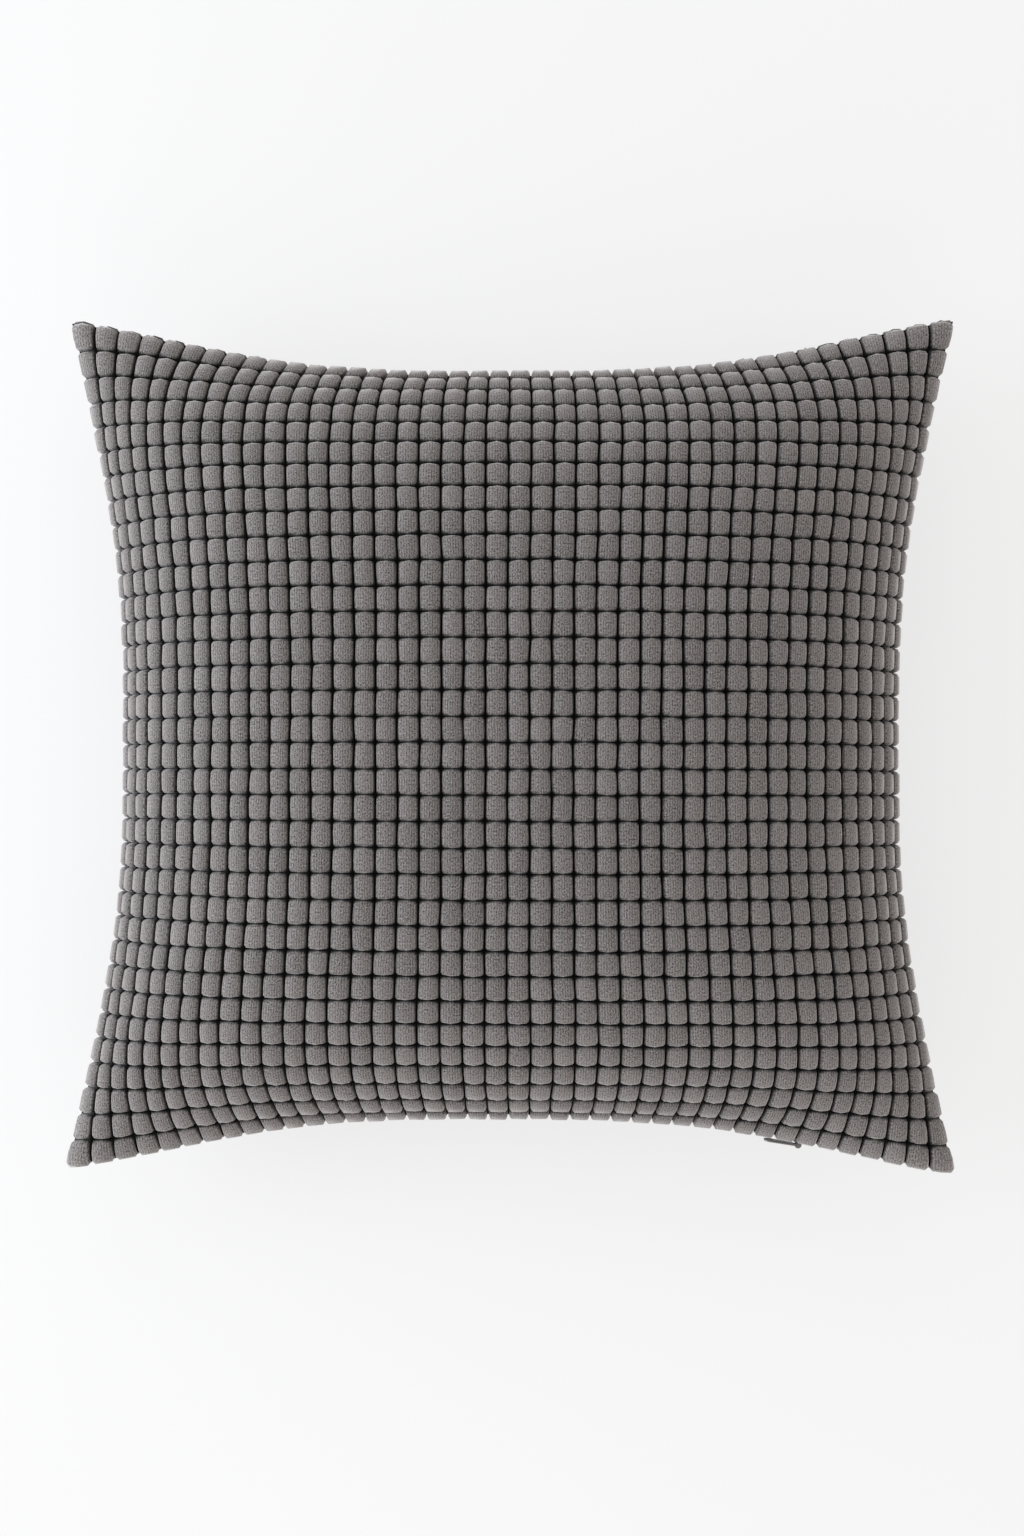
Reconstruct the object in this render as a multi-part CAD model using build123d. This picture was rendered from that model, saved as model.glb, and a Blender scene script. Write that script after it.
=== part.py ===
from build123d import *
import os
from math import asin, degrees, sqrt

# A square throw pillow lying on its back: a corduroy cover of two panels with a concealed
# zip in its lower edge, and a fibre-filled insert inside. X is across the pillow, Y runs from
# the zipped edge to the plain top edge, Z is up. The seam round the cover lies in one level
# plane, and everything on the zip is turned about the centre of that edge's arc. An inset is
# measured from the cover's edge towards its middle.

# Cover
cover_width = 450.0        # seam from left corner to right corner
cover_height = 436.0       # seam from lower corner to upper corner
front_crown = 66.0         # top of the front panel above the seam plane
back_crown = 60.0          # what the back panel would have below it without a floor
floor_sag = 6.0            # how much of the back is pressed flat
width_power = 3.25         # fullness of the crown from left to right
height_power = 3.15        # fullness of the crown from the zip to the top
wall_sine = 0.953          # sine of the slope at the middle of a side, which draws the side in
edge_fullness = 4.0        # thickness that the cloth itself keeps right up to the seam
edge_power = 24            # how close to the seam that thickness holds
cloth_thickness = 3.5      # corduroy with its pile
lining_thickness = 1.2     # corduroy pressed flat inside a seam
seam_allowance = 12.0      # cloth turned in at the sewn edges
seam_line_inset = 7.0      # stitching
thread_size = 0.6
wall_slant = 1.2           # level width of a steep wall over its thickness

# Zip
zip_length = 324.0         # length of the opening
slit_height = 1.4          # gap between the two lips of the opening
track_inset = 6.1          # the slider's clear track starts here, behind the lips
track_height = 6.7         # room between the two turned-in linings
zip_lining = 21.0          # cloth turned in along the zip
lining_root = 2.0          # the lining runs into the wall from here
coil_inset = 7.7
coil_width = 2.0
coil_gap = 1.2             # between the two rows, where the slider's divider passes
coil_height = 1.0
coil_chamfer = 0.25
tape_thickness = 0.4
tape_end = 22.0            # far edge of the tape
tape_step_inset = 12.6     # the tape steps towards the lining here, behind the slider
tape_step_run = 0.9
stitch_insets = (15.0, 19.5)
stop_length = 3.0
stop_overhang = 0.3        # how far a stop stands out round the coil
end_margin = 1.5           # opening left past each stop

# Slider and pull
slider_length = 10.0
slider_wall = 0.8
slider_clearance = 0.35
slider_depth = 5.3         # from the face of its front wall to its open back
slider_stop_gap = 0.5      # left between the slider and a stop
neck_length = 5.0
neck_height = 0.8
divider_height = 0.6
divider_depth = 2.9
pin_reach = 1.4            # pull's pin, out from the edge
pin_radius = 0.4
pin_clearance = 0.2
crown_radius = 1.8         # round end of the slider's crown, about the pin
pull_length = 18.0
pull_neck_width = 4.6
pull_width = 6.0
pull_thickness = 1.0
pull_hole_radius = 1.5
pull_start = 2.3           # the pull's plate starts this far from its pin
ear_gap = 0.25             # between the crown and each ear of the pull
ear_thickness = 0.8
ear_radius = 0.9
pull_fillet = 0.3
pull_swing = 180.0         # degrees from lying one way to lying the other way

# Care label, folded up inside the left seam
label_length = 32.0
label_height = 12.0
label_thickness = 0.3
label_lean = 23.0          # degrees from upright
label_inset = 9.0
label_place = 0.2          # share of the half height, up from the middle

# Insert
insert_gap = 0.6           # between the insert and the inside of the cover
insert_cloth = 1.0
insert_setback = 3.0       # between the turned-in cloth and the insert's edge
insert_thread = 0.4
closing_length = 120.0     # part of the insert's seam that is closed last

seam_level = back_crown - floor_sag
half_width = cover_width / 2
half_height = cover_height / 2
surface_points = 23
reach_steps = 40
surface_tolerance = 0.01
cut_over = 1.0             # how far a cutter runs past what it cuts
far = cover_width + cover_height


def level_share(across, along, power, cross_power):
    # The cloth keeps its own length on the curve, so a strip of it reaches less far where it
    # slopes: the root of one less the slope's sine squared, summed along the strip.
    steepest = wall_sine * (1 - abs(along) ** cross_power)
    step = abs(across) / reach_steps
    places = [(count + 0.5) * step for count in range(reach_steps)]
    reach = sum(step * sqrt(1 - (steepest * place ** (power - 1)) ** 2) for place in places)
    return reach if across >= 0 else -reach


def plan_point(across, along, width, height):
    # All layers draw in at their sides alike, so their seams are parallel
    x = width * level_share(across, along, width_power, height_power)
    y = height * level_share(along, across, height_power, width_power)
    return Vector(x, y, 0)


def cloth_height(across, along, rise, fullness):
    crown = (1 - abs(across) ** width_power) * (1 - abs(along) ** height_power)
    edge = (1 - abs(across) ** edge_power) * (1 - abs(along) ** edge_power)
    return rise * crown + fullness * edge


def panel_places():
    # Shares of the half size from one edge to the other, closer together near the edges
    turns = [180 * count / (surface_points - 1) for count in range(surface_points)]
    return [Vector(-1, 0, 0).rotate(Axis.Z, -turn).X for turn in turns]


def crowned_half(width, height, rise, fullness, flat):
    # One crowned panel above the level plane of its seam, as a solid, with its top cut off
    # level where a height is given
    places = panel_places()
    skin_points = [
        [plan_point(u, v, width, height) + Vector(0, 0, cloth_height(u, v, rise, fullness)) for v in places]
        for u in places
    ]
    skin = Face.make_surface_from_array_of_points(skin_points, tol=surface_tolerance, min_deg=3, max_deg=5)
    half = Solid(Shell([skin, Face(Wire(skin.edges()))]))
    if flat is None:
        return half
    top = Box(far, far, far, align=(Align.CENTER, Align.CENTER, Align.MIN))
    return half - Pos(0, 0, flat) * top


def layer(side, depth, width, height):
    # A layer of the pillow, so far below the cover's outer face. The thickness that the cloth
    # keeps at its edge is used up first.
    crown = front_crown if side > 0 else back_crown
    fullness = max(edge_fullness - depth, 0)
    rise = crown - edge_fullness - max(depth - edge_fullness, 0)
    flat = None if side > 0 else seam_level - depth
    return crowned_half(width, height, rise, fullness, flat)


def placed(shape, side):
    # Work is drawn above the seam plane, and what belongs to the back is turned under it
    turned_over = shape if side > 0 else shape.mirror(Plane.XY)
    return Pos(0, 0, seam_level) * turned_over


def outline(width, height):
    # The level outline of a seam, with its four drawn-in sides
    places = panel_places()
    lower = Spline(*[plan_point(u, -1, width, height) for u in places])
    upper = Spline(*[plan_point(u, 1, width, height) for u in places])
    left = Spline(*[plan_point(-1, v, width, height) for v in places])
    right = Spline(*[plan_point(1, v, width, height) for v in places])
    return make_face([lower, right, upper, left])


def edge_drop(across):
    # How far the lower edge lies from the middle of the cover
    return -plan_point(across, -1, half_width, half_height).Y


# The lower edge as an arc through its middle and the two ends of the zip
edge_middle = edge_drop(0)
edge_sag = edge_drop(zip_length / cover_width) - edge_middle
edge_radius = ((zip_length / 2) ** 2 + edge_sag**2) / (2 * edge_sag)
arc_centre_y = -edge_middle - edge_radius
arc_axis = Axis((0, arc_centre_y, 0), (0, 0, 1))
degrees_per_mm = degrees(1 / edge_radius)


def turned(section, start, end):
    # A section of (inset, height) corners, turned along the lower edge between two places in
    # millimetres to the right of its middle
    section_plane = Plane(origin=(0, arc_centre_y, 0), x_dir=(0, 1, 0), z_dir=(1, 0, 0))
    corners = [(edge_radius + inset, height) for inset, height in section]
    face = section_plane * make_face(Polyline(*corners, close=True))
    return revolve(face, arc_axis, (end - start) * degrees_per_mm).rotate(arc_axis, -end * degrees_per_mm)


def block(inset, end_inset, low, high):
    return [(inset, low), (end_inset, low), (end_inset, high), (inset, high)]


zip_half = zip_length / 2
chain_half = zip_half - end_margin - stop_length
slider_half_travel = chain_half - slider_stop_gap - slider_length / 2
coil_end = coil_inset + coil_width
coil_low = coil_gap / 2
coil_top = coil_low + coil_height
tape_low = coil_low + (coil_height - tape_thickness) / 2
lining_low = track_height / 2
tape_top = lining_low - thread_size


def seam_thread(width, height, inset, size, gap=0.0):
    # A line of stitching in the seam plane, all the way round
    ring = outline(width - inset, height - inset) - outline(width - inset - size, height - inset - size)
    return Pos(0, 0, -size / 2) * extrude(ring, size)


def cover_panel(side):
    # Shell with its turned-in seam allowance, then the two lips and the lining of the zip
    wall_inset = cloth_thickness * wall_slant
    outer = layer(side, 0, half_width, half_height)
    cavity = layer(side, cloth_thickness, half_width - wall_inset, half_height - wall_inset)
    allowance_box = Box(far, far, 2 * lining_thickness)
    inside_allowance = extrude(
        outline(half_width - seam_allowance, half_height - seam_allowance), lining_thickness
    )
    lining = outer & turned(
        block(lining_root, zip_lining, lining_low, lining_low + lining_thickness), -zip_half, zip_half
    )
    track = turned(block(track_inset, tape_end + cut_over, -lining_low, lining_low), -zip_half, zip_half)
    slit_end = track_inset + cut_over
    slit = turned(block(-cut_over, slit_end, -slit_height / 2, slit_height / 2), -zip_half, zip_half)
    shell = outer - (cavity - allowance_box) - inside_allowance
    panel = shell + lining - track - slit
    return panel - seam_thread(half_width, half_height, seam_line_inset, thread_size)


def seam_sides():
    # The stitching of the plain sides, parted at the corners and at the two ends of the zip
    whole = seam_thread(half_width, half_height, seam_line_inset, thread_size)
    corners = [(half_width, half_height), (-half_width, half_height)]
    corners += [(-half_width, -half_height), (half_width, -half_height)]
    pieces = {}
    for name, start in (("top", 0), ("left", 1), ("lower", 2), ("right", 3)):
        first, second = corners[start], corners[(start + 1) % 4]
        wedge = make_face(Polyline((0, 0), first, second, close=True))
        pieces[name] = whole & Pos(0, 0, -thread_size) * extrude(wedge, 2 * thread_size)
    opening = turned(block(-cut_over, tape_end, -thread_size, thread_size), -zip_half, zip_half)
    lower = pieces.pop("lower") - opening
    half_space = Box(far, 2 * far, far, align=(Align.MIN, Align.CENTER, Align.CENTER))
    pieces["lower_right"] = lower & half_space
    pieces["lower_left"] = lower - half_space
    return pieces


def zip_tape():
    # Woven edge of the coil, then a step outward to the cover's lining
    shelf = tape_step_inset + tape_step_run
    section = [
        (coil_end, tape_low),
        (tape_step_inset + tape_thickness, tape_low),
        (shelf + tape_thickness, tape_top - tape_thickness),
        (tape_end, tape_top - tape_thickness),
        (tape_end, tape_top),
        (shelf, tape_top),
        (tape_step_inset, tape_low + tape_thickness),
        (coil_end, tape_low + tape_thickness),
    ]
    return turned(section, -zip_half, zip_half)


def zip_coil():
    low, high = coil_low, coil_top
    section = [
        (coil_inset, low + coil_chamfer),
        (coil_inset + coil_chamfer, low),
        (coil_end, low),
        (coil_end, high),
        (coil_inset + coil_chamfer, high),
        (coil_inset, high - coil_chamfer),
    ]
    return turned(section, -chain_half, chain_half)


def zip_stitches():
    lines = [block(inset, inset + thread_size, tape_top, lining_low) for inset in stitch_insets]
    return [turned(line, -zip_half, zip_half) for line in lines]


def zip_top_stops():
    # One clamp on the end of each coil, past the slider when the zip is closed
    low, high = coil_low - stop_overhang, coil_top + stop_overhang
    stop = turned(block(coil_inset - stop_overhang, coil_end, low, high), chain_half, chain_half + stop_length)
    return [placed(stop, 1), placed(stop, -1)]


def zip_bottom_stop():
    high = coil_top + stop_overhang
    section = block(coil_inset - stop_overhang, coil_end, -high, high)
    return turned(section, -chain_half - stop_length, -chain_half)


def at_rest(shape):
    # The closed zip has its slider at the right end
    return Pos(0, 0, seam_level) * shape.rotate(arc_axis, -slider_half_travel * degrees_per_mm)


pin_y = -edge_middle - pin_reach


def zip_slider():
    # A channel round both coils, open at the back for the tapes, with a thin neck that passes
    # out through the slit and ends in a crown for the pull
    front = track_inset + slider_clearance
    back = front + slider_depth
    plate_low = coil_top + slider_clearance
    plate_high = plate_low + slider_wall
    half = slider_length / 2
    divider_end = front + slider_wall + divider_depth
    body = turned(block(front, front + slider_wall, -plate_high, plate_high), -half, half)
    body += turned(block(front, back, plate_low, plate_high), -half, half)
    body += turned(block(front, back, -plate_high, -plate_low), -half, half)
    body += turned(block(front, divider_end, -divider_height / 2, divider_height / 2), -half, half)
    body += turned(block(0, front, -neck_height / 2, neck_height / 2), -neck_length / 2, neck_length / 2)
    arm = Pos(0, pin_y / 2 - edge_middle / 2) * Rectangle(2 * crown_radius, pin_reach + neck_height)
    crown = Pos(0, pin_y) * Circle(crown_radius) + arm
    crown -= Pos(0, pin_y) * Circle(pin_radius + pin_clearance)
    body += Pos(0, 0, -neck_height / 2) * extrude(crown, neck_height)
    return body


def zip_pull():
    # A plate with a finger hole, and two ears that hold the pin through the slider's crown
    ear_inner = neck_height / 2 + ear_gap
    ear_outer = ear_inner + ear_thickness
    round_end = pull_width / 2
    hole_x = round_end - pull_length
    plate = make_hull(
        (
            Pos(-pull_start, 0) * Rectangle(pull_thickness, pull_neck_width, align=(Align.MAX, Align.CENTER))
            + Pos(hole_x, 0) * Circle(round_end)
        ).edges()
    )
    plate -= Pos(hole_x, 0) * Circle(pull_hole_radius)
    upright = Plane(origin=(0, 0, 0), x_dir=(1, 0, 0), z_dir=(0, -1, 0))
    body = extrude(upright * plate, pull_thickness / 2, both=True)
    body = fillet(body.edges().filter_by(GeomType.CIRCLE), pull_fillet)
    arm_length = pull_start + pull_thickness / 2
    ear = Circle(ear_radius)
    ear += Rectangle(arm_length, pull_thickness, align=(Align.MAX, Align.CENTER))
    for low in (ear_inner, -ear_outer):
        body += Pos(0, 0, low) * extrude(ear, ear_thickness)
    body += Cylinder(pin_radius, 2 * ear_outer)
    return Pos(0, pin_y, 0) * body


def care_label():
    base = plan_point(-1, label_place, half_width, half_height)
    tag = Box(label_thickness, label_length, label_height, align=(Align.MAX, Align.CENTER, Align.MIN))
    return Pos(base.X + label_inset, base.Y, seam_level + lining_thickness) * Rot(0, label_lean, 0) * tag


# The insert keeps clear of the cover's turned-in cloth, which is deeper along the zip
side_setback = seam_allowance + insert_setback
zip_setback = tape_end + insert_setback
insert_half_width = half_width - side_setback
insert_half_height = half_height - (side_setback + zip_setback) / 2
insert_shift = (zip_setback - side_setback) / 2
insert_depth = cloth_thickness + insert_gap
insert_wall = insert_cloth * wall_slant


def insert_fill_half(side):
    depth = insert_depth + insert_cloth
    return layer(side, depth, insert_half_width - insert_wall, insert_half_height - insert_wall)


def insert_thread_ring():
    return seam_thread(insert_half_width, insert_half_height, insert_thread, insert_thread)


def insert_panel(side):
    outer = layer(side, insert_depth, insert_half_width, insert_half_height)
    return outer - insert_fill_half(side) - insert_thread_ring()


def closing_zone():
    zone = Box(closing_length, half_height, insert_cloth, align=(Align.CENTER, Align.MAX, Align.CENTER))
    return Pos(0, -half_height / 2, 0) * zone


def pillow_nodes():
    shift = Pos(0, insert_shift, 0)
    level = Pos(0, 0, seam_level)
    nodes = {}
    for side, name in ((1, "front"), (-1, "back")):
        nodes["cover_" + name] = placed(cover_panel(side), side)
        nodes["insert_" + name] = shift * placed(insert_panel(side), side)
        nodes["zip_tape_" + name] = placed(zip_tape(), side)
        nodes["zip_coil_" + name] = placed(zip_coil(), side)
        nodes["zip_stitch_" + name] = Compound([placed(line, side) for line in zip_stitches()])
    for name, thread in seam_sides().items():
        nodes["seam_thread_" + name] = level * thread
    fill = [placed(insert_fill_half(side), side) for side in (1, -1)]
    nodes["insert_fill"] = shift * fill[0].fuse(fill[1], tol=surface_tolerance)
    nodes["insert_seam_thread"] = shift * level * (insert_thread_ring() - closing_zone())
    nodes["insert_closing_stitch"] = shift * level * (insert_thread_ring() & closing_zone())
    nodes["zip_top_stops"] = Compound(zip_top_stops())
    nodes["zip_bottom_stop"] = level * zip_bottom_stop()
    nodes["zip_slider"] = at_rest(zip_slider())
    nodes["zip_pull"] = at_rest(zip_pull())
    nodes["care_label"] = care_label()
    return nodes


def travel_report():
    travel = 2 * slider_half_travel * degrees_per_mm
    rest = Vector(0, edge_radius - pin_reach, 0).rotate(Axis.Z, -slider_half_travel * degrees_per_mm)
    print("arc centre y", round(arc_centre_y, 4), "radius", round(edge_radius, 3))
    print("travel in degrees", round(travel, 3), "pull swing", pull_swing)
    print("pin at", round(rest.X, 4), round(rest.Y + arc_centre_y, 4), "level", seam_level)


os.makedirs("parts", exist_ok=True)
for node, shape in pillow_nodes().items():
    export_step(shape, f"parts/{node}.step")
travel_report()
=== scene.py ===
import bpy
import math
import numpy as np
from mathutils import Euler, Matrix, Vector


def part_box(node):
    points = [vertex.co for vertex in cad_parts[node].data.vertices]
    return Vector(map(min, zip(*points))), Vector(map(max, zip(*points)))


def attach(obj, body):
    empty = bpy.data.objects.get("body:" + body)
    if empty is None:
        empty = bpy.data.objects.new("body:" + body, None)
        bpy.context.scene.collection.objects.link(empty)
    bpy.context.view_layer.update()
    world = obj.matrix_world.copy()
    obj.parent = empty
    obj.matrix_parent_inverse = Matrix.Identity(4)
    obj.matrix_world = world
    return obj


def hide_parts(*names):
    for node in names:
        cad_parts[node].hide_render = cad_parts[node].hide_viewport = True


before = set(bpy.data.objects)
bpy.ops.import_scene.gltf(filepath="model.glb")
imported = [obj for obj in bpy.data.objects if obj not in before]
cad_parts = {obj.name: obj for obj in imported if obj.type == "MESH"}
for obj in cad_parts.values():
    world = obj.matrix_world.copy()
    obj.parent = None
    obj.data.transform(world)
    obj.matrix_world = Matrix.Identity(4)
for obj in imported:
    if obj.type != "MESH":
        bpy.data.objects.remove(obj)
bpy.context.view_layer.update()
mm = 0.001
rng = np.random.default_rng(18)
mostBlocks = 30          # blocks that may lie on one side of the panel's middle
waveUnit = 0.314         # scale at which a wave texture has one band to a unit

# The cover's size comes from its two CAD panels, which meet at the seam
frontLow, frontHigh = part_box("cover_front")
seamLevel = frontLow[2]
halfWidth = frontHigh[0]
halfHeight = frontHigh[1]
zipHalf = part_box("zip_tape_front")[1][0]
print("cover", halfWidth * 2, halfHeight * 2, "seam at", seamLevel)

pad = {
    "floorSag": 6.0 * mm,       # how much of the back's crown is pressed flat
    "widthPower": 3.25,         # fullness of the crown across
    "heightPower": 3.15,        # fullness of the crown up
    "wallSine": 0.953,          # slope at the middle of a side
    "edgeRoll": 9.0 * mm,       # half thickness of the rounded corners
    "edgeRollAtSides": 0.3,     # share of it left at the middle of a side
    "edgeRunAcross": 16.0 * mm,  # how far in from the left and right seams the edge is round
    "edgeRunUp": 9.0 * mm,      # the same from the top and lower seams
    "cornerPower": 10,          # the higher, the nearer to a corner the walls stay steep
    "drawnPower": 8,            # how closely the drawn-out part keeps to the corners
    "rollPower": 3,             # the same for their thickness
    "floorTurn": 3.0 * mm,      # softness of the turn onto the floor
    "lumps": 0.8 * mm,          # unevenness of the filling
}

panel = {
    "groundDrop": 2.7 * mm,     # ground cloth under the outer face of the pile
    "edgeInset": 2.0 * mm,      # the same at the seam, level
    "cornerReach": (9.0 * mm, 6.0 * mm),   # how far a corner is drawn out, across and up
    "groundThickness": 0.9 * mm,
    "lip": 0.7 * mm,            # half the zip's slit
    "lipDepth": 6.1 * mm,
    "track": 3.35 * mm,         # half the clear track behind the lips
    "zipLining": 21.0 * mm,
    "lining": 1.2 * mm,
    "allowance": 12.0 * mm,
    "seamGap": 0.35 * mm,       # half the gap that the seam's thread fills
    "leastWall": 0.8 * mm,      # ground cloth kept above the floor
    "slitRun": 3.0 * mm,        # the slit closes over this length at each end of the zip
    "slitDepth": 7.0 * mm,      # how far in from the seam the slit parts the cloth
    "turn": 0.3 * mm,           # room that the turned-in cloth takes behind the lips
    "clear": 0.1 * mm,          # inner face kept off the turned-in cloth
}

block = {
    "columns": 42,              # whole blocks across
    "rows": 34,                 # whole blocks up
    "rowShift": -0.07,          # grooves across the panel are moved up by this share of a row
    # places of the mesh's lines inside one block, as shares of it
    "linesAcross": [0, 0.036, 0.066, 0.15, 0.5, 0.85, 0.934, 0.964],
    "linesUp": [0, 0.022, 0.055, 0.15, 0.5, 0.85, 0.945, 0.978],
    "grooveAcross": 0.74 * mm,  # gap between neighbours in a row
    "grooveUp": 0.12 * mm,      # gap between rows
    "corner": 2.2 * mm,         # rounded corners of a block
    "shoulder": 1.3 * mm,       # how far its rounded edge reaches in
    "endCrown": 0.45 * mm,      # a block's two ends bulge this far
    "height": 3.0 * mm,
    "sizeSpread": 0.12 * mm,
    "wideShare": 0.5,           # share of that spread in a block's half width
    "highShare": 0.3,           # and in its half height
    "heightSpread": 0.05,
    "tiltSpread": 0.05,
    "dome": 0.10,               # share of the height in the crown of its top
    "wander": 0.18 * mm,        # grooves stray this far from straight
    "groundShadeBelow": 0.4,           # faces whose pile is lower than this show the near-black ground cloth, which also stands in as painted shade in the grooves
}

simulation = {
    "frames": 20,
    "pressure": 3.0,
    "start": 3.0 * mm,          # how much lower the cloth starts
    "startPower": 3,            # how quickly that fades towards the seam
    "most": 5.0 * mm,           # the largest move that is kept
    "cloth": {"quality": 6, "mass": 0.4, "tension_stiffness": 40, "compression_stiffness": 40,
              "shear_stiffness": 8, "bending_stiffness": 2.0, "use_pressure": True},
}


def slopedShare(across, steepest, power, steps=48):
    # Reach of a strip of cloth over its length: the root of one less its slope's sine
    # squared, averaged over the strip up to the point.
    places = (np.arange(steps) + 0.5) / steps
    place = np.clip(np.abs(across), 0, 1)[..., None] * places
    slope = steepest[..., None] * place ** (power - 1)
    return across * np.sqrt(1 - slope**2).mean(axis=-1)


def levelShare(across, along, power, crossPower, keptPower=None):
    # The outline follows a slope that fades towards the corners. Inside it, the cloth may
    # keep its slope nearer to the corners, which draws it together near the seam.
    place = np.clip(np.abs(along), 0, 1)
    steepest = pad["wallSine"] * (1 - place**crossPower)
    share = slopedShare(across, steepest, power)
    if keptPower:
        kept = pad["wallSine"] * (1 - place**keptPower)
        whole = slopedShare(np.ones_like(across), steepest, power)
        share = whole * slopedShare(across, kept, power) / slopedShare(np.ones_like(across), kept, power)
    return share


def softLeast(height, flat):
    # The lesser of the two with a soft turn: half the sum, less half the root of the
    # difference squared plus softness squared.
    return 0.5 * (height + flat - np.sqrt((height - flat) ** 2 + pad["floorTurn"] ** 2))


def crownedSurface(u, v, side, half, crown, shiftUp=0.0, flat=None, reach=(0.0, 0.0)):
    # One side of a pad over the cloth shares u and v from -1 to 1. Level place: half size
    # times levelShare, drawn out towards the corners by reach times a power of |u v|. Height:
    # rise (1 - |u|^power)(1 - |v|^power), plus a quarter circle round the seam. The back
    # is pressed flat.
    x = half[0] * levelShare(u, v, pad["widthPower"], pad["heightPower"], pad["cornerPower"])
    y = half[1] * levelShare(v, u, pad["heightPower"], pad["widthPower"])
    au = np.clip(np.abs(u), 0, 1)
    av = np.clip(np.abs(v), 0, 1)
    drawn = (au * av) ** pad["drawnPower"]
    x = x + reach[0] * drawn * np.sign(u)
    y = y + reach[1] * drawn * np.sign(v) + shiftUp
    inU = np.clip((1 - au) * half[0] / pad["edgeRunAcross"], 0, 1)
    inV = np.clip((1 - av) * half[1] / pad["edgeRunUp"], 0, 1)
    least = pad["edgeRollAtSides"]
    rolled = pad["edgeRoll"] * (least + (1 - least) * (au * av) ** pad["rollPower"])
    rolled = rolled * np.sqrt(1 - (1 - inU) ** 2) * np.sqrt(1 - (1 - inV) ** 2)
    rise = crown - least * pad["edgeRoll"]
    height = rise * (1 - au ** pad["widthPower"]) * (1 - av ** pad["heightPower"]) + rolled
    if flat is not None:
        height = np.maximum(softLeast(height, flat), 0) * (height > 0)
    return np.stack([x, y, seamLevel + side * height], axis=-1)


def blockLines(count, shift, places):
    # Places in blocks from the panel's middle, with every cell between two grooves cut
    # in the same shares. Whole numbers, plus the shift, are grooves.
    half = count / 2
    grooves = np.arange(-math.ceil(half) - 1, math.ceil(half) + 2) + shift
    edges = np.concatenate([[-half], grooves[np.abs(grooves) < half - 0.02], [half]])
    starts, sizes = edges[:-1], np.diff(edges)
    fine = (starts[:, None] + sizes[:, None] * np.array(places)[None, :]).ravel()
    return edges, np.concatenate([fine, [half]])


def halved(edges):
    # The same places, with the middle of every step added
    middles = 0.5 * (edges[1:] + edges[:-1])
    return np.sort(np.concatenate([edges, middles]))


def curveWeights(nodes, places):
    # Rows of weights that read a smooth curve through values at the nodes: cubic Hermite
    # with slopes from neighbouring values.
    count = len(nodes)
    cell = np.clip(np.searchsorted(nodes, places, side="right") - 1, 0, count - 2)
    size = nodes[cell + 1] - nodes[cell]
    t = (places - nodes[cell]) / size
    slopes = np.zeros((count, count))
    slopes[0, :2] = np.array([-1, 1]) / (nodes[1] - nodes[0])
    slopes[-1, -2:] = np.array([-1, 1]) / (nodes[-1] - nodes[-2])
    inner = np.arange(1, count - 1)
    slopes[inner, inner + 1] = 1 / (nodes[inner + 1] - nodes[inner - 1])
    slopes[inner, inner - 1] = -1 / (nodes[inner + 1] - nodes[inner - 1])
    row = np.arange(len(places))
    weights = np.zeros((len(places), count))
    weights[row, cell] += 2 * t**3 - 3 * t**2 + 1
    weights[row, cell + 1] += 3 * t**2 - 2 * t**3
    weights += ((t**3 - 2 * t**2 + t) * size)[:, None] * slopes[cell]
    weights += ((t**3 - t**2) * size)[:, None] * slopes[cell + 1]
    return weights


def gridQuads(numbers, flip):
    # Four corners of every cell of a grid of vertex numbers
    a, b = numbers[:-1, :-1], numbers[1:, :-1]
    c, d = numbers[1:, 1:], numbers[:-1, 1:]
    order = [a, d, c, b] if flip else [a, b, c, d]
    return np.stack(order, axis=-1).reshape(-1, 4)


def roundEdge(grid):
    # The four edges of a grid, once round from its first corner
    return np.concatenate([grid[:-1, 0], grid[-1, :-1], grid[:0:-1, -1], grid[0, :0:-1]])


def stripFaces(outer, inner, flip):
    # Faces between two closed loops of vertex numbers. The outer loop has a whole number of
    # steps to each step of the inner one.
    steps = len(outer) // len(inner)
    start = np.arange(len(inner))
    along = outer[(start[:, None] * steps + np.arange(steps, -1, -1)) % len(outer)]
    faces = np.concatenate([along, inner[start][:, None], inner[(start + 1) % len(inner)][:, None]], axis=1)
    return faces[:, ::-1] if flip else faces


def meshPiece(name, points, faceLists):
    # faceLists holds arrays of faces, each with one number of corners
    mesh = bpy.data.meshes.new(name)
    corners = np.concatenate([faces.ravel() for faces in faceLists])
    sizes = np.concatenate([np.full(len(faces), faces.shape[1]) for faces in faceLists])
    starts = np.concatenate([[0], np.cumsum(sizes)[:-1]])
    mesh.vertices.add(len(points))
    mesh.vertices.foreach_set("co", np.asarray(points, dtype=np.float32).ravel())
    mesh.loops.add(len(corners))
    mesh.loops.foreach_set("vertex_index", corners.astype(np.int32))
    mesh.polygons.add(len(sizes))
    mesh.polygons.foreach_set("loop_start", starts.astype(np.int32))
    mesh.polygons.foreach_set("loop_total", sizes.astype(np.int32))
    mesh.update(calc_edges=True)
    mesh.polygons.foreach_set("use_smooth", np.ones(len(mesh.polygons), dtype=bool))
    piece = bpy.data.objects.new(name, mesh)
    bpy.context.collection.objects.link(piece)
    return piece


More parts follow.
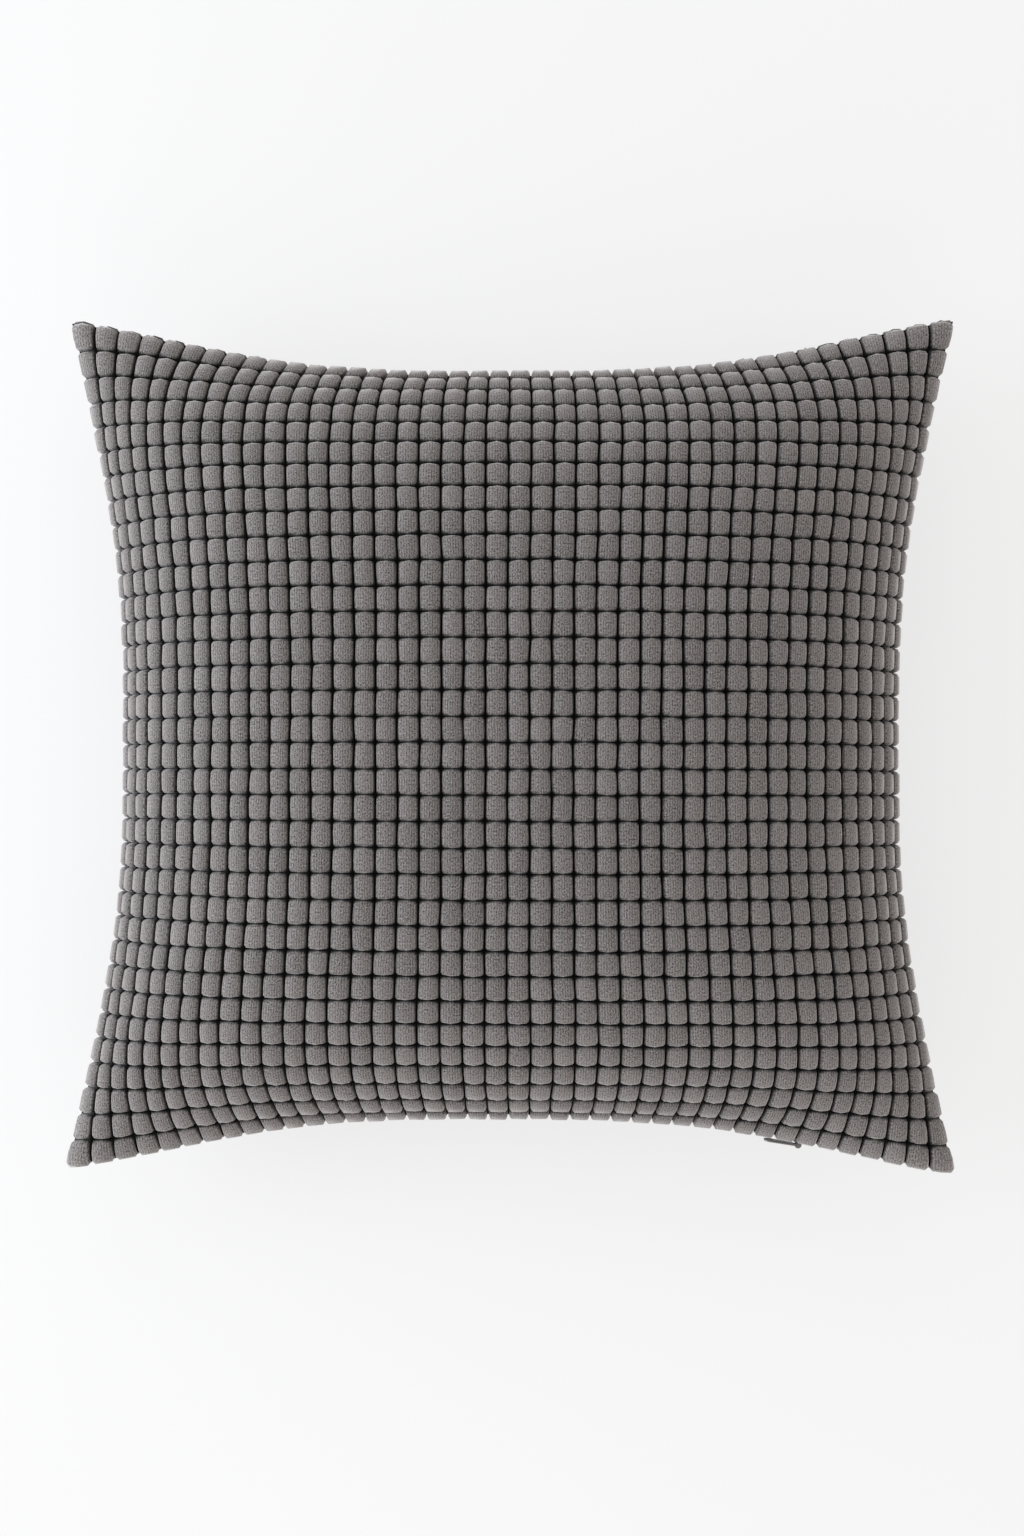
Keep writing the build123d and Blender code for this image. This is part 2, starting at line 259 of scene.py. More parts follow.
def shellPiece(name, outer, rings, inner, side):
    # A closed shell: an outer grid, rings that lead inwards from its edge, and an inner grid
    # that ends on the last ring.
    flip = side < 0
    outerNumbers = np.arange(outer[..., 0].size).reshape(outer.shape[:2])
    innerNumbers = outer[..., 0].size + np.arange(inner[..., 0].size).reshape(inner.shape[:2])
    count = outerNumbers.size + innerNumbers.size
    loops = [roundEdge(outerNumbers)]
    for ring in rings:
        loops.append(count + np.arange(len(ring)))
        count += len(ring)
    loops.append(roundEdge(innerNumbers))
    faces = [gridQuads(outerNumbers, flip), gridQuads(innerNumbers, not flip)]
    faces += [stripFaces(first, second, flip) for first, second in zip(loops, loops[1:])]
    points = np.concatenate([outer.reshape(-1, 3), inner.reshape(-1, 3)] + rings)
    return meshPiece(name, points, faces)


def addValues(piece, name, values):
    # Values for the outer grid's points, which come first; zero elsewhere
    layer = piece.data.attributes.new(name, "FLOAT", "POINT")
    full = np.zeros(len(piece.data.vertices), dtype=np.float32)
    full[: values.size] = values.ravel()
    layer.data.foreach_set("value", full)


def addClothMap(piece, u, v):
    # Places on the flat cloth in metres, as the piece's own UV map
    mesh = piece.data
    layer = mesh.uv_layers.new(name="cloth")
    corner = np.zeros(len(mesh.loops), dtype=np.int32)
    mesh.loops.foreach_get("vertex_index", corner)
    flat = np.zeros((len(mesh.vertices), 2), dtype=np.float32)
    flat[: u.size, 0] = u.ravel()
    flat[: v.size, 1] = v.ravel()
    layer.data.foreach_set("uv", flat[corner].ravel())


edgesAcross, fineAcross = blockLines(block["columns"], 0.0, block["linesAcross"])
edgesUp, fineUp = blockLines(block["rows"], block["rowShift"], block["linesUp"])
pitchAcross = 2 * halfWidth / block["columns"]
pitchUp = 2 * halfHeight / block["rows"]
coarseAcross, coarseUp = halved(edgesAcross), halved(edgesUp)


def shares(linesAcross, linesUp):
    # Places in blocks turned into cloth shares from -1 to 1, as a grid
    u = linesAcross / (block["columns"] / 2)
    v = linesUp / (block["rows"] / 2)
    return np.meshgrid(u, v, indexing="ij")


def sideName(side):
    return "front" if side > 0 else "back"


def depthOf(node, side):
    # How far a node reaches from the seam, up or down
    low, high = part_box(node)
    return high[2] - seamLevel if side > 0 else seamLevel - low[2]


def groundSurface(linesAcross, linesUp, side, drop):
    # The panel's crowned surface at a drop below the outer face of its pile
    u, v = shares(linesAcross, linesUp)
    inset = panel["edgeInset"] + max(drop - panel["groundDrop"], 0)
    half = (halfWidth - inset, halfHeight - inset)
    depth = depthOf("cover_" + sideName(side), side) - drop
    if side > 0:
        return crownedSurface(u, v, side, half, depth, reach=panel["cornerReach"])
    return crownedSurface(u, v, side, half, depth + pad["floorSag"], 0.0, depth, panel["cornerReach"])


def smoothField(shape):
    # Smooth random heights: a few random values read as smooth curves both ways, and
    # nothing at the edges
    count = (9, 8)
    rough = rng.normal(size=count).clip(-2, 2)
    x, y = np.linspace(0, 1, shape[0]), np.linspace(0, 1, shape[1])
    across = curveWeights(np.linspace(0, 1, count[0]), x)
    up = curveWeights(np.linspace(0, 1, count[1]), y)
    return across @ rough @ up.T * np.sin(np.pi * x)[:, None] * np.sin(np.pi * y)


def inflatedMoves():
    # Cloth simulation of the two panels sewn edge to edge and blown up from inside, with the
    # seam held level. What comes back is how far each point of both coarse grids moved,
    # scaled down so that none moves more than is wanted.
    starts = {side: groundSurface(coarseAcross, coarseUp, side, panel["groundDrop"]) for side in (1, -1)}
    shape = starts[1].shape[:2]
    moves = {side: np.zeros_like(starts[1]) for side in (1, -1)}
    lumps = pad["lumps"] * smoothField(shape)
    u, v = shares(coarseAcross, coarseUp)
    lowered = simulation["start"] * (1 - np.abs(u) ** simulation["startPower"])
    lowered *= 1 - np.abs(v) ** simulation["startPower"]
    moves[1][..., 2] = lumps - lowered
    frontNumbers = np.arange(shape[0] * shape[1]).reshape(shape)
    backNumbers = frontNumbers.copy()
    inside = (shape[0] - 2, shape[1] - 2)
    backNumbers[1:-1, 1:-1] = frontNumbers.size + np.arange(inside[0] * inside[1]).reshape(inside)
    points = np.concatenate([(starts[1] + moves[1]).reshape(-1, 3), starts[-1][1:-1, 1:-1].reshape(-1, 3)])
    blown = meshPiece("pressurePad", points, [gridQuads(frontNumbers, False), gridQuads(backNumbers, True)])
    modifier = blown.modifiers.new("pressure", "CLOTH")
    settings = modifier.settings
    seam = blown.vertex_groups.new(name="seam")
    seam.add([int(number) for number in roundEdge(frontNumbers)], 1.0, "REPLACE")
    settings.vertex_group_mass = seam.name
    for name, value in simulation["cloth"].items():
        setattr(settings, name, value)
    settings.uniform_pressure_force = simulation["pressure"]
    settings.effector_weights.gravity = 0
    modifier.collision_settings.use_collision = False
    modifier.point_cache.frame_end = simulation["frames"]
    for count in range(1, simulation["frames"] + 1):
        bpy.context.scene.frame_set(count)
    view = bpy.context.evaluated_depsgraph_get()
    result = np.zeros(len(points) * 3)
    blown.evaluated_get(view).data.vertices.foreach_get("co", result)
    bpy.context.scene.frame_set(1)
    bpy.data.objects.remove(blown)
    change = result.reshape(-1, 3) - points
    length = np.linalg.norm(change, axis=1, keepdims=True)
    print("cloth moved up to", length.max(), "and", length.mean(), "on average")
    change *= min(simulation["most"] / length.max(), 1)
    moves[1] += change[frontNumbers]
    moves[-1] += change[backNumbers]
    return moves


def moved(grid, linesAcross, linesUp, side, flat):
    # A grid carried by the coarse moves, read as smooth curves both ways. The back stays
    # pressed flat.
    across = curveWeights(coarseAcross, linesAcross)
    up = curveWeights(coarseUp, linesUp)
    grid = grid + np.einsum("ai,ijk,bj->abk", across, moves[side], up)
    if side < 0:
        height = seamLevel - grid[..., 2]
        pressed = np.where(height > 0.5 * flat, softLeast(height, flat), height)
        grid[..., 2] = seamLevel - pressed
    return grid


def surfaceNormals(grid, side):
    # The cross product of the grid's two directions, made one long
    normal = np.cross(np.gradient(grid, axis=0), np.gradient(grid, axis=1)) * side
    return normal / np.maximum(np.linalg.norm(normal, axis=-1, keepdims=True), 1e-12)


def blockHeights():
    # Height share of the pile. A block is a rectangle with rounded corners and crowned ends:
    # the depth inside its outline, over the shoulder's width, rises as a quarter circle.
    # On top come a low dome, a small tilt and a height of its own.
    c, r = np.meshgrid(fineAcross, fineUp - block["rowShift"], indexing="ij")
    column = np.clip(np.floor(c), -mostBlocks, mostBlocks).astype(int) + mostBlocks
    row = np.clip(np.floor(r), -mostBlocks, mostBlocks).astype(int) + mostBlocks
    table = 2 * mostBlocks + 1
    spread = rng.normal(size=(6, table, table)).clip(-2, 2)[:, column, row]
    across = c - np.floor(c) - 0.5
    up = r - np.floor(r) - 0.5
    wide = (pitchAcross - block["grooveAcross"]) / 2 + block["sizeSpread"] * spread[0] * block["wideShare"]
    high = (pitchUp - block["grooveUp"]) / 2 + block["sizeSpread"] * spread[1] * block["highShare"]
    high = high - block["endCrown"] * (2 * across) ** 2
    outX = np.abs(across) * pitchAcross - wide + block["corner"]
    outY = np.abs(up) * pitchUp - high + block["corner"]
    outside = np.hypot(np.maximum(outX, 0), np.maximum(outY, 0)) + np.minimum(np.maximum(outX, outY), 0)
    u, v = shares(fineAcross, fineUp)
    seamDistance = np.minimum((1 - np.abs(u)) * halfWidth, (1 - np.abs(v)) * halfHeight)
    depth = np.minimum(block["corner"] - outside, seamDistance)
    pile = np.sqrt(1 - (1 - np.clip(depth / block["shoulder"], 0, 1)) ** 2)
    dome = (1 - (2 * across) ** 2) * (1 - (2 * up) ** 2)
    top = 1 - block["dome"] * (1 - dome) + block["heightSpread"] * spread[4]
    top = top + block["tiltSpread"] * (spread[2] * across + spread[3] * up)
    return pile, pile * top, spread[5]


def strayed(base):
    # Smooth wandering of the grid of grooves along the surface, nothing at the seam
    rough = rng.normal(size=(2, len(edgesAcross), len(edgesUp))).clip(-2, 2) * block["wander"]
    rough[:, [0, -1], :] = 0
    rough[:, :, [0, -1]] = 0
    across = curveWeights(edgesAcross, fineAcross)
    up = curveWeights(edgesUp, fineUp)
    for axis in (0, 1):
        tangent = np.gradient(base, axis=axis)
        tangent /= np.linalg.norm(tangent, axis=-1, keepdims=True)
        base = base + (across @ rough[axis] @ up.T)[..., None] * tangent
    return base


def insetOutline(loop, depth):
    # A level loop taken inwards: each point as shares of the half sizes at its own place,
    # kept the depth short of one.
    nearSide = 0.85             # a point farther out than this share lies along a side
    reachX = np.abs(loop[:, 0]).max()
    reachY = np.abs(loop[:, 1]).max()
    sideRun = loop[np.argsort(loop[:, 1])]
    sideRun = sideRun[np.abs(sideRun[:, 0]) > nearSide * reachX]
    endRun = loop[np.argsort(loop[:, 0])]
    endRun = endRun[np.abs(endRun[:, 1]) > nearSide * reachY]
    halfAt = np.interp(loop[:, 1], sideRun[:, 1], np.abs(sideRun[:, 0]))
    highAt = np.interp(loop[:, 0], endRun[:, 0], np.abs(endRun[:, 1]))
    shareX = np.clip(loop[:, 0] / halfAt, -1 + depth / halfAt, 1 - depth / halfAt)
    shareY = np.clip(loop[:, 1] / highAt, -1 + depth / highAt, 1 - depth / highAt)
    return np.column_stack([shareX * halfAt, shareY * highAt])


def ringAt(loop, depths, levels, side):
    # depths and levels each hold a value for the closed seam and one for the zip's length
    atZip = (loop[:, 1] < 0) & (np.abs(loop[:, 0]) < zipHalf)
    atZip &= np.abs(loop[:, 1]) > 0.8 * np.abs(loop[:, 1]).max()
    plain, opened = insetOutline(loop, depths[0]), insetOutline(loop, depths[1])
    place = np.where(atZip[:, None], opened, plain)
    level = np.where(atZip, levels[1], levels[0])
    return np.column_stack([place, seamLevel + side * level])


def coverPanel(side):
    # Blocks of pile standing on the moved ground along its normals. From the seam the cloth
    # turns in: a plain allowance, or along the zip a lip, the side of the track and a lining.
    base = groundSurface(fineAcross, fineUp, side, panel["groundDrop"])
    flat = seamLevel - panel["groundDrop"]
    base = strayed(moved(base, fineAcross, fineUp, side, flat))
    u, v = shares(fineAcross, fineUp)
    fromEdge = (1 + v) * halfHeight
    slit = np.clip((zipHalf - np.abs(base[..., 0])) / panel["slitRun"], 0, 1)
    base[..., 2] += side * panel["lip"] * slit * np.exp(-((fromEdge / panel["slitDepth"]) ** 2))
    if side < 0:
        base[..., 2] = np.maximum(base[..., 2], panel["leastWall"])
    pile, height, tone = blockHeights()
    points = base + surfaceNormals(base, side) * (height * block["height"])[..., None]
    if side < 0:
        points[..., 2] = np.maximum(points[..., 2], 0)
    drop = panel["groundDrop"] + panel["groundThickness"]
    inner = groundSurface(edgesAcross, edgesUp, side, drop)
    inner = moved(inner, edgesAcross, edgesUp, side, seamLevel - drop)
    last = panel["seamGap"] + panel["lining"] + panel["turn"]
    lining = panel["track"] + panel["lining"]
    if side < 0:
        inner[..., 2] = np.maximum(inner[..., 2], panel["leastWall"] + panel["groundThickness"])
    edge = roundEdge(base)[::len(block["linesAcross"])]
    along = (np.abs(inner[..., 0]) < zipHalf) & (inner[..., 1] < -0.8 * halfHeight)
    least = np.where(along, lining, last) + panel["clear"]
    inner[..., 2] = seamLevel + side * np.maximum(side * (inner[..., 2] - seamLevel), least)
    gap = panel["seamGap"]
    rings = [
        ringAt(edge, (panel["lipDepth"], panel["lipDepth"]), (gap, panel["lip"]), side),
        ringAt(edge, (panel["lipDepth"] + panel["turn"], panel["lipDepth"]), (gap, panel["track"]), side),
        ringAt(edge, (panel["allowance"], panel["zipLining"]), (gap, panel["track"]), side),
        ringAt(edge, (panel["allowance"], panel["zipLining"]), (gap + panel["lining"], lining), side),
        ringAt(edge, (panel["lipDepth"], panel["lipDepth"]), (gap + panel["lining"], lining), side),
    ]
    piece = shellPiece(sideName(side) + "_corduroy", points, rings, inner, side)
    addValues(piece, "pile", pile)
    addValues(piece, "tone", tone)
    addClothMap(piece, u * halfWidth, v * halfHeight + (0 if side > 0 else 1.0))
    markGrooves(piece, pile)
    return piece


def markGrooves(piece, pile):
    # The second material, near-black ground cloth that also stands in as painted shade in the grooves, goes to every
    # face whose corners are all bare ground
    mesh = piece.data
    least = np.maximum.reduce([pile[:-1, :-1], pile[1:, :-1], pile[1:, 1:], pile[:-1, 1:]]).ravel()
    numbers = np.ones(len(mesh.polygons), dtype=np.int32)
    numbers[: least.size] = least < block["groundShadeBelow"]
    mesh.polygons.foreach_set("material_index", numbers)


def linked(tree, kind, inputs=None, **settings):
    # A node with its settings, and its inputs given as values or as sockets to join
    node = tree.nodes.new(kind)
    for name, value in settings.items():
        setattr(node, name, value)
    for name, value in (inputs or {}).items():
        if isinstance(value, bpy.types.NodeSocket):
            tree.links.new(value, node.inputs[name])
        else:
            node.inputs[name].default_value = value
    return node


def newMaterial(name, roughness, specular, sheen=0.0, sheenRoughness=0.5, sheenTint=(1, 1, 1, 1)):
    # A material with the values that stay the same all over its surface
    material = bpy.data.materials.new(name)
    material.use_nodes = True
    shader = material.node_tree.nodes["Principled BSDF"]
    shader.inputs["Roughness"].default_value = roughness
    shader.inputs["Specular IOR Level"].default_value = specular
    shader.inputs["Sheen Weight"].default_value = sheen
    shader.inputs["Sheen Roughness"].default_value = sheenRoughness
    shader.inputs["Sheen Tint"].default_value = sheenTint
    return material, material.node_tree, shader


pileLook = {
    "dark": (0.022, 0.019, 0.018, 1),
    "light": (0.27, 0.25, 0.242, 1),
    # near-black painted shade at the foot of a block's sides
    "depth": (0.002, 0.002, 0.002, 1),
    "threadWide": 0.62 * mm,
    "threadLong": 0.95 * mm,
    "rib": 1.25 * mm,           # spacing of the fine ribs in the pile
    "bump": 0.22 * mm,
    "sheen": 0.85,
    "sheenRoughness": 0.42,
    "sheenTint": (0.86, 0.82, 0.80, 1),
    "toneSpread": 0.012,
    "ribShare": 0.10,           # strength of the ribs beside the flecks
    "fleckRange": (0.36, 0.74),  # noise that gives the darkest and the lightest fibre
    "shadeFadeRange": (0.35, 0.92),  # share of the pile's height over which the painted shade gives way to its colour
}


def corduroyMaterial():
    # Flecks of light and dark fibre lie along fine ribs, and every block has its own tone.
    # Painted shade darkens the colour down the sides of a block, to near-black at their foot.
    look = pileLook
    material, tree, shader = newMaterial(
        "corduroyPile", 0.95, 0.08, look["sheen"], look["sheenRoughness"], look["sheenTint"])
    place = linked(tree, "ShaderNodeUVMap", uv_map="cloth")
    stretched = linked(tree, "ShaderNodeMapping", {
        "Vector": place.outputs[0],
        "Scale": (1 / look["threadWide"], 1 / look["threadLong"], 1)})
    fleck = linked(tree, "ShaderNodeTexNoise", {
        "Vector": stretched.outputs[0], "Scale": 1.0, "Detail": 2.0, "Roughness": 0.7})
    rib = linked(tree, "ShaderNodeTexWave", {
        "Vector": place.outputs[0], "Scale": 1 / look["rib"] * waveUnit, "Distortion": 0.8,
        "Detail": 1.0, "Detail Scale": 3.0}, bands_direction="X")
    ribbed = linked(tree, "ShaderNodeMath", {
        0: rib.outputs["Fac"], 1: look["ribShare"], 2: fleck.outputs[0]}, operation="MULTIPLY_ADD")
    toneValue = linked(tree, "ShaderNodeAttribute", attribute_name="tone")
    toned = linked(tree, "ShaderNodeMath", {
        0: toneValue.outputs["Fac"], 1: look["toneSpread"], 2: ribbed.outputs[0]}, operation="MULTIPLY_ADD")
    spread = linked(tree, "ShaderNodeMapRange", {
        "Value": toned.outputs[0],
        "From Min": look["fleckRange"][0], "From Max": look["fleckRange"][1]})
    heather = linked(tree, "ShaderNodeMix", {
        0: spread.outputs[0], 6: look["dark"], 7: look["light"]}, data_type="RGBA")
    # painted shade: by the pile's height, the colour fades to near-black down the sides of a block
    pileValue = linked(tree, "ShaderNodeAttribute", attribute_name="pile")
    paintedShadeFade = linked(tree, "ShaderNodeMapRange", {
        "Value": pileValue.outputs["Fac"],
        "From Min": look["shadeFadeRange"][0], "From Max": look["shadeFadeRange"][1]},
        interpolation_type="SMOOTHSTEP")
    colour = linked(tree, "ShaderNodeMix", {
        0: paintedShadeFade.outputs[0], 6: look["depth"], 7: heather.outputs[2]}, data_type="RGBA")
    bump = linked(tree, "ShaderNodeBump", {
        "Strength": 1.0, "Distance": look["bump"], "Height": ribbed.outputs[0]})
    tree.links.new(colour.outputs[2], shader.inputs["Base Color"])
    tree.links.new(bump.outputs[0], shader.inputs["Normal"])
    return material


def threadGroup():
    # Crossing threads shared by the plain cloths: two waves at right angles give a height,
    # and noise between two tones gives the colour.
    group = bpy.data.node_groups.new("plainThreads", "ShaderNodeTree")
    wanted = (("Spacing", "NodeSocketFloat", 0.6 * mm), ("Dark", "NodeSocketColor", (0.2, 0.2, 0.2, 1)),
              ("Light", "NodeSocketColor", (0.5, 0.5, 0.5, 1)))
    for name, kind, value in wanted:
        group.interface.new_socket(name, in_out="INPUT", socket_type=kind).default_value = value
    for name, kind in (("Color", "NodeSocketColor"), ("Height", "NodeSocketFloat")):
        group.interface.new_socket(name, in_out="OUTPUT", socket_type=kind)
    given = linked(group, "NodeGroupInput")
    place = linked(group, "ShaderNodeTexCoord")
    scale = linked(group, "ShaderNodeMath", {0: waveUnit, 1: given.outputs["Spacing"]}, operation="DIVIDE")
    waves = [linked(group, "ShaderNodeTexWave", {
        "Vector": place.outputs["Object"], "Scale": scale.outputs[0], "Distortion": 0.3},
        bands_direction=way) for way in ("X", "Y")]
    height = linked(group, "ShaderNodeMath", {
        0: waves[0].outputs["Fac"], 1: waves[1].outputs["Fac"]}, operation="ADD")
    fleck = linked(group, "ShaderNodeTexNoise", {
        "Vector": place.outputs["Object"], "Scale": scale.outputs[0], "Detail": 3.0})
    tone = linked(group, "ShaderNodeMath", {
        0: height.outputs[0], 1: 0.25, 2: fleck.outputs[0]}, operation="MULTIPLY_ADD")
    colour = linked(group, "ShaderNodeMix", {
        0: tone.outputs[0], 6: given.outputs["Dark"], 7: given.outputs["Light"]}, data_type="RGBA")
    out = linked(group, "NodeGroupOutput")
    group.links.new(colour.outputs[2], out.inputs["Color"])
    group.links.new(height.outputs[0], out.inputs["Height"])
    return group


def threadedMaterial(name, look):
    # A plain cloth or thread: the shared crossing threads at its own spacing and tones
    material, tree, shader = newMaterial(
        name, look["roughness"], look["specular"], look.get("sheen", 0), 0.5)
    threads = linked(tree, "ShaderNodeGroup", node_tree=plainThreads)
    threads.inputs["Spacing"].default_value = look["spacing"]
    threads.inputs["Dark"].default_value = (*look["dark"], 1)
    threads.inputs["Light"].default_value = (*look["light"], 1)
    bump = linked(tree, "ShaderNodeBump", {
        "Strength": 0.7, "Distance": look["bump"], "Height": threads.outputs["Height"]})
    tree.links.new(threads.outputs["Color"], shader.inputs["Base Color"])
    tree.links.new(bump.outputs[0], shader.inputs["Normal"])
    return material


def hardMaterial(name, look):
    # Enamel or nylon: fine noise varies the roughness and the tone a little
    material, tree, shader = newMaterial(name, look["roughness"], look["specular"])
    shader.inputs["Metallic"].default_value = look["metallic"]
    place = linked(tree, "ShaderNodeTexCoord")
    grain = linked(tree, "ShaderNodeTexNoise", {
        "Vector": place.outputs["Object"], "Scale": 1 / look["grain"], "Detail": 4.0})
    colour = linked(tree, "ShaderNodeMix", {
        0: grain.outputs[0], 6: (*look["dark"], 1), 7: (*look["light"], 1)}, data_type="RGBA")
    rough = linked(tree, "ShaderNodeMapRange", {
        "Value": grain.outputs[0], "To Min": look["roughness"] - 0.1, "To Max": look["roughness"] + 0.1})
    bump = linked(tree, "ShaderNodeBump", {
        "Strength": 0.4, "Distance": look["bump"], "Height": grain.outputs[0]})
    tree.links.new(colour.outputs[2], shader.inputs["Base Color"])
    tree.links.new(rough.outputs[0], shader.inputs["Roughness"])
    tree.links.new(bump.outputs[0], shader.inputs["Normal"])
    return material


clothLooks = {
    # near-black: the dark ground cloth between the blocks, made darker still as painted shade in the grooves
    "groundClothAndShade": {"dark": (0.001, 0.001, 0.001), "light": (0.005, 0.005, 0.005), "spacing": 0.5 * mm,
                    "bump": 0.05 * mm, "roughness": 1.0, "specular": 0.0},
    "greyThread": {"dark": (0.07, 0.065, 0.06), "light": (0.16, 0.15, 0.145), "spacing": 0.3 * mm,
                   "bump": 0.06 * mm, "roughness": 0.7, "specular": 0.3, "sheen": 0.2},
    "wovenTape": {"dark": (0.03, 0.028, 0.027), "light": (0.11, 0.10, 0.098), "spacing": 0.45 * mm,
                  "bump": 0.08 * mm, "roughness": 0.8, "specular": 0.2, "sheen": 0.2},
    "labelSatin": {"dark": (0.66, 0.65, 0.63), "light": (0.82, 0.81, 0.79), "spacing": 0.25 * mm,
                   "bump": 0.02 * mm, "roughness": 0.4, "specular": 0.5, "sheen": 0.3},
    "insertCloth": {"dark": (0.70, 0.70, 0.69), "light": (0.86, 0.86, 0.85), "spacing": 0.7 * mm,
                    "bump": 0.06 * mm, "roughness": 0.9, "specular": 0.1, "sheen": 0.2},
    "fibreFill": {"dark": (0.72, 0.72, 0.72), "light": (0.92, 0.92, 0.92), "spacing": 3.0 * mm,
                  "bump": 0.8 * mm, "roughness": 1.0, "specular": 0.0, "sheen": 0.4},
    "whiteThread": {"dark": (0.62, 0.62, 0.62), "light": (0.84, 0.84, 0.84), "spacing": 0.3 * mm,
                    "bump": 0.06 * mm, "roughness": 0.7, "specular": 0.3, "sheen": 0.2},
}

hardLooks = {
    "nylonCoil": {"dark": (0.035, 0.033, 0.032), "light": (0.08, 0.075, 0.072), "grain": 0.8 * mm,
                  "bump": 0.03 * mm, "roughness": 0.45, "specular": 0.5, "metallic": 0.0},
    "stopEnamel": {"dark": (0.05, 0.047, 0.045), "light": (0.09, 0.085, 0.08), "grain": 0.6 * mm,
                   "bump": 0.02 * mm, "roughness": 0.4, "specular": 0.5, "metallic": 0.3},
    "sliderEnamel": {"dark": (0.13, 0.12, 0.115), "light": (0.20, 0.185, 0.18), "grain": 0.5 * mm,
                     "bump": 0.02 * mm, "roughness": 0.38, "specular": 0.5, "metallic": 0.3},
}

plainThreads = threadGroup()
corduroyPile = corduroyMaterial()
materials = {name: threadedMaterial(name, look) for name, look in clothLooks.items()}
materials.update({name: hardMaterial(name, look) for name, look in hardLooks.items()})
print("materials ready")

nodeFinishes = {
    "greyThread": ["seam_thread_top", "seam_thread_left", "seam_thread_right", "seam_thread_lower_left",
                   "seam_thread_lower_right", "zip_stitch_front", "zip_stitch_back"],
    "wovenTape": ["zip_tape_front", "zip_tape_back"],
    "nylonCoil": ["zip_coil_front", "zip_coil_back"],
    "stopEnamel": ["zip_top_stops", "zip_bottom_stop"],
    "sliderEnamel": ["zip_slider", "zip_pull"],
    "labelSatin": ["care_label"],
    "whiteThread": ["insert_seam_thread", "insert_closing_stitch"],
}
for finish, nodes in nodeFinishes.items():
    for node in nodes:
        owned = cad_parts[node].data.materials
        owned.clear()
        owned.append(materials[finish])

moves = inflatedMoves()
for side in (1, -1):
    cover = coverPanel(side)
    # the second slot is the near-black ground cloth, which doubles as painted shade in the grooves
    cover.data.materials.append(corduroyPile)
    cover.data.materials.append(materials["groundClothAndShade"])
    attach(cover, "pillow")
    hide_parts("cover_" + sideName(side))
    print("made", cover.name, len(cover.data.polygons), "faces")

insert = {
    "thickness": 1.0 * mm,
    "gap": 0.1 * mm,            # half the room between its two cloths at the seam
}


def insertSurface(node, side, drop, linesAcross, linesUp):
    # The same crowned form, to the size of the insert's own node
    u, v = shares(linesAcross, linesUp)
    low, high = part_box(node)
    half = ((high[0] - low[0]) / 2 - drop, (high[1] - low[1]) / 2 - drop)
    depth = depthOf(node, side) - drop
    shift = (high[1] + low[1]) / 2
    if side > 0:
        grid = crownedSurface(u, v, side, half, depth, shift)
    else:
        grid = crownedSurface(u, v, side, half, depth + pad["floorSag"], shift, depth)
    return moved(grid, linesAcross, linesUp, side, depth)


for side in (1, -1):
    node = "insert_" + sideName(side)
    outer = insertSurface(node, side, 0.0, coarseAcross, coarseUp)
    inner = insertSurface(node, side, insert["thickness"], coarseAcross, coarseUp)
    outer[..., 2] += side * insert["gap"]
    atSeam = np.abs(inner[..., 2] - seamLevel) < insert["gap"]
    inner[..., 2] += side * (insert["gap"] + insert["thickness"]) * atSeam
    case = shellPiece(node + "_case", outer, [], inner, side)
    case.data.materials.append(materials["insertCloth"])
    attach(case, "pillow")
    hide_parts(node)
    print("made", case.name)


def fillPiece():
    # Two crowned sides, a thin edge apart
    upper, lower = [insertSurface("insert_fill", side, 0.0, coarseAcross, coarseUp) for side in (1, -1)]
    upper[..., 2] += insert["gap"]
    lower[..., 2] -= insert["gap"]
    return shellPiece("fibre_filling", upper, [], lower, 1)


filling = fillPiece()
filling.data.materials.append(materials["fibreFill"])
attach(filling, "pillow")
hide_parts("insert_fill")
print("made", filling.name)

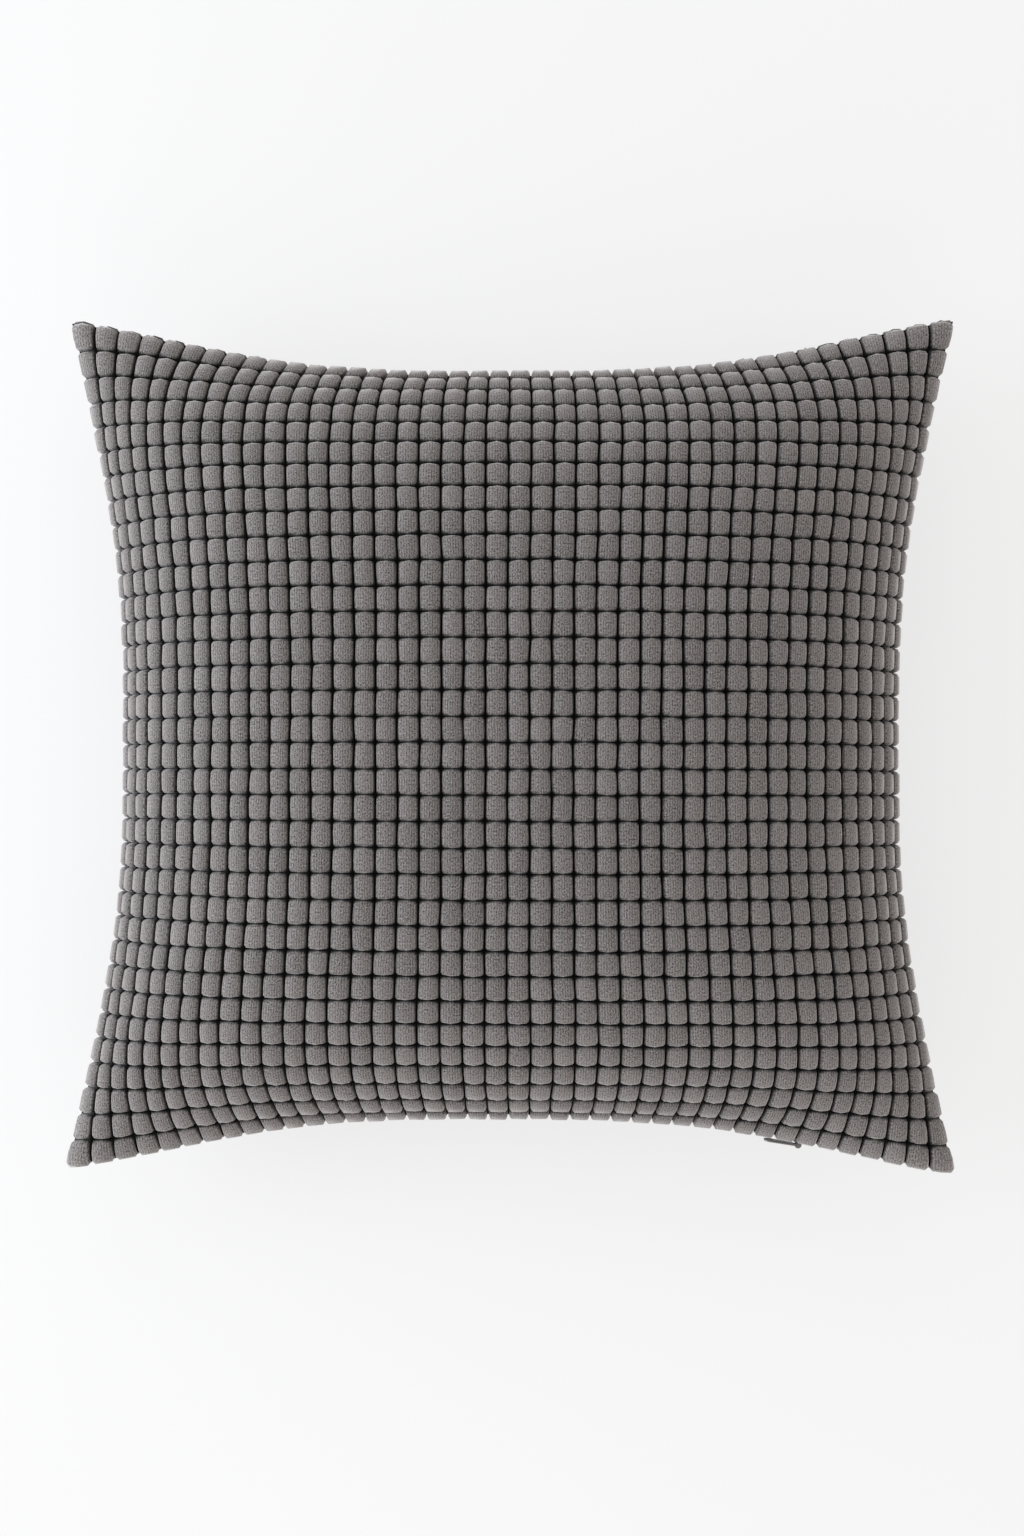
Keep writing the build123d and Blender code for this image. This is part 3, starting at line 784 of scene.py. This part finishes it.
studio = {
    "floor": (0.20, 0.20, 0.20),
    "floorGlow": 0.68,
    "floorHalf": 14.0,
    "floorDrop": 0.3 * mm,
    "sky": 0.55,
    "cameraPlace": (13.1 * mm, -19.7 * mm, 0.766),   # from the seam's middle
    "cameraTurn": (0.535, 0.88, 0.14),               # degrees about X, Y and Z
    "focal": 1459 / 1536,                            # of the frame's height
    # place, size, power, colour
    "softboxes": (
        ((-1.1, 0.1, 0.42), 0.9, 19.0, (0.88, 0.92, 1.0)),
        ((1.1, 0.15, 0.45), 0.9, 3.0, (1.0, 0.95, 0.90)),
        ((0.0, 1.1, 0.6), 1.0, 5.0, (1.0, 0.97, 0.95)),
        ((0.0, -1.1, 0.5), 1.0, 8.0, (1.0, 0.97, 0.95)),
    ),
}


def makeStudio():
    # An even sky, a pale floor that glows a little, and four softboxes that face the pillow
    world = bpy.data.worlds.new("studio")
    bpy.context.scene.world = world
    world.use_nodes = True
    world.node_tree.nodes["Background"].inputs["Color"].default_value = (1, 1, 1, 1)
    world.node_tree.nodes["Background"].inputs["Strength"].default_value = studio["sky"]
    corner = np.array([[-1, -1], [1, -1], [1, 1], [-1, 1]]) * studio["floorHalf"]
    floor = meshPiece("floor", np.column_stack([corner, np.full(4, -studio["floorDrop"])]), [np.array([[0, 1, 2, 3]])])
    paint, _, shader = newMaterial("paleFloor", 0.9, 0.0)
    shader.inputs["Base Color"].default_value = (*studio["floor"], 1)
    shader.inputs["Emission Color"].default_value = (1, 1, 1, 1)
    shader.inputs["Emission Strength"].default_value = studio["floorGlow"]
    floor.data.materials.append(paint)
    for place, size, power, colour in studio["softboxes"]:
        light = bpy.data.lights.new("softbox", "AREA")
        light.size = size
        light.energy = power
        light.color = colour
        softbox = bpy.data.objects.new("softbox", light)
        softbox.location = place
        towards = Vector((0, 0, seamLevel)) - Vector(place)
        softbox.rotation_euler = towards.to_track_quat("-Z", "Y").to_euler()
        bpy.context.collection.objects.link(softbox)


def makeCamera():
    # The lens is as long as its share of the frame's height says
    lens = bpy.data.cameras.new("camera")
    lens.sensor_fit = "VERTICAL"
    lens.sensor_height = 36.0
    lens.lens = studio["focal"] * lens.sensor_height
    camera = bpy.data.objects.new("camera", lens)
    x, y, z = studio["cameraPlace"]
    camera.location = (x, y, seamLevel + z)
    camera.rotation_euler = Euler([math.radians(turn) for turn in studio["cameraTurn"]], "XYZ")
    bpy.context.collection.objects.link(camera)
    bpy.context.scene.camera = camera


bpy.context.scene.view_settings.view_transform = "Standard"
makeStudio()
makeCamera()
print("stage ready")
